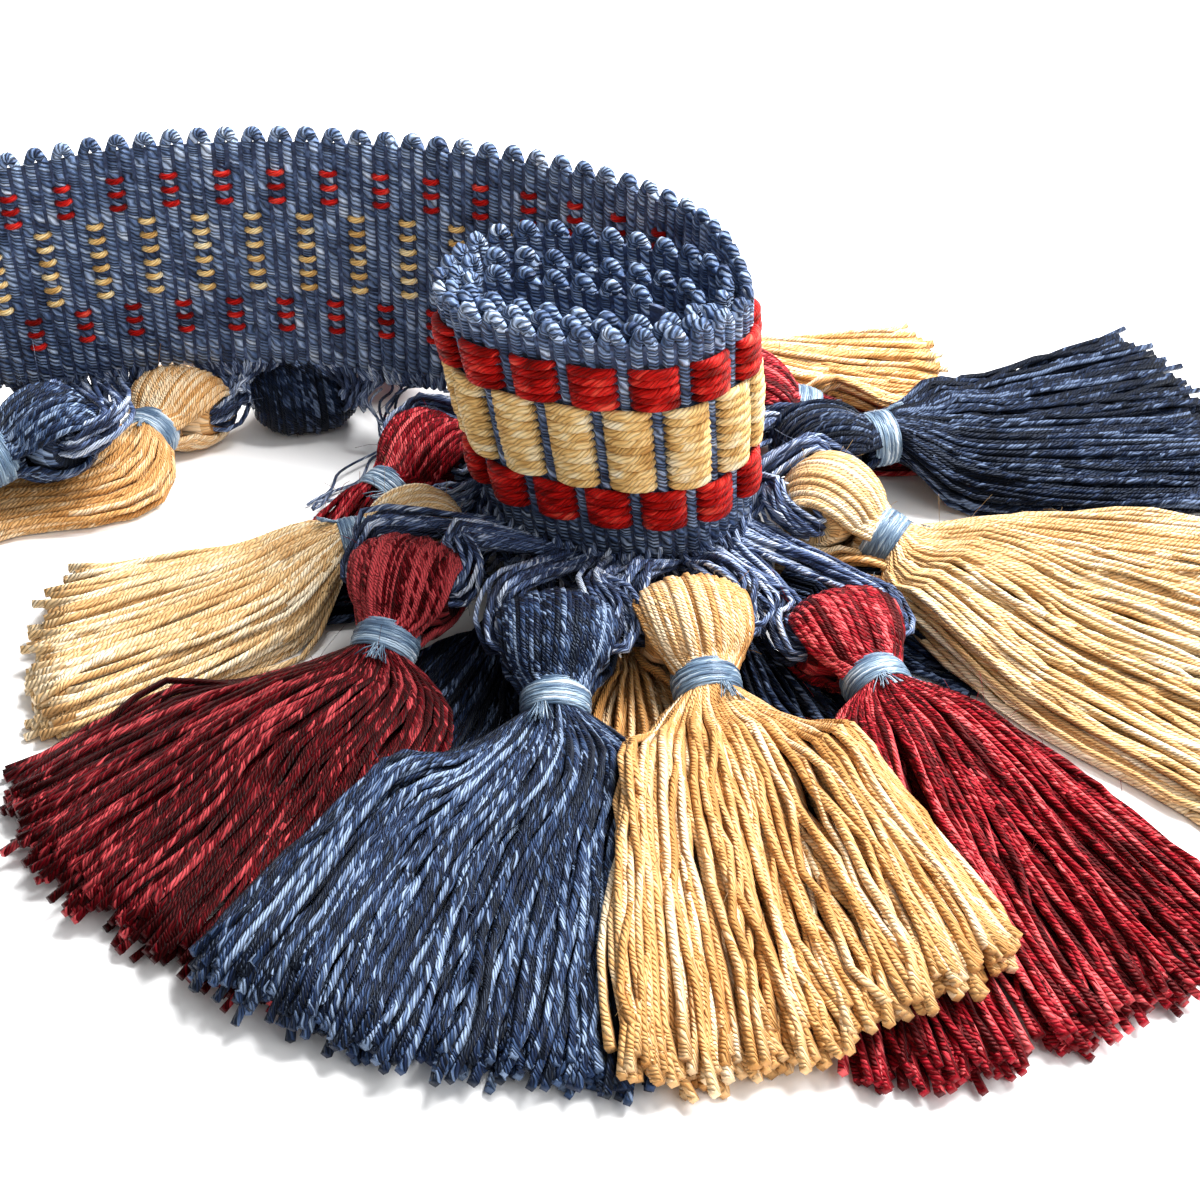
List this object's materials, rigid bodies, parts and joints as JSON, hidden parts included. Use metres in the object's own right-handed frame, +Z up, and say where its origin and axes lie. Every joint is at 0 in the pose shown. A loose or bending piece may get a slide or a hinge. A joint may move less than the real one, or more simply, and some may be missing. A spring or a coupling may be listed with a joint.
{
  "type": "tassel fringe trim",
  "caption": "Multicoloured yarn tassels hung by yarn loops from a ribbed woven heading with a picot edge, loosely wound into a standing roll with one end left free.",
  "frame": {"origin": "middle of the footprint of the whole piece, on the table it stands on", "axes": "+X along the longest extent, the free end of the heading towards -X; +Y from the roll towards the free run behind it; +Z up"},
  "size_m": [0.2384, 0.22, 0.047],
  "materials": {
    "heading_weave": "ribbed weave",
    "blue_yarn": "twisted yarn with a soft sheen",
    "gold_yarn": "twisted yarn with a soft sheen",
    "crimson_yarn": "twisted yarn with a soft sheen",
    "tie_thread": "satin thread",
    "hanger_yarn": "twisted yarn"
  },
  "bodies": {
    "root": {"heading": "heading_weave", "tassel_01": "blue_yarn", "tassel_02": "gold_yarn", "tassel_03": "blue_yarn", "tassel_04": "crimson_yarn", "tassel_05": "blue_yarn", "tassel_06": "gold_yarn", "tassel_07": "crimson_yarn", "tassel_08": "blue_yarn", "tassel_09": "gold_yarn", "tassel_10": "crimson_yarn", "tassel_11": "gold_yarn", "tassel_12": "blue_yarn", "tassel_13": "crimson_yarn", "tassel_14": "gold_yarn", "tassel_15": "crimson_yarn", "tie_01": "tie_thread", "tie_02": "tie_thread", "tie_03": "tie_thread", "tie_04": "tie_thread", "tie_05": "tie_thread", "tie_06": "tie_thread", "tie_07": "tie_thread", "tie_08": "tie_thread", "tie_09": "tie_thread", "tie_10": "tie_thread", "tie_11": "tie_thread", "tie_12": "tie_thread", "tie_13": "tie_thread", "tie_14": "tie_thread", "tie_15": "tie_thread", "hanger_01": "hanger_yarn", "hanger_02": "hanger_yarn", "hanger_03": "hanger_yarn", "hanger_04": "hanger_yarn", "hanger_05": "hanger_yarn", "hanger_06": "hanger_yarn", "hanger_07": "hanger_yarn", "hanger_08": "hanger_yarn", "hanger_09": "hanger_yarn", "hanger_10": "hanger_yarn", "hanger_11": "hanger_yarn", "hanger_12": "hanger_yarn", "hanger_13": "hanger_yarn", "hanger_14": "hanger_yarn", "hanger_15": "hanger_yarn"}
  },
  "joints": []
}
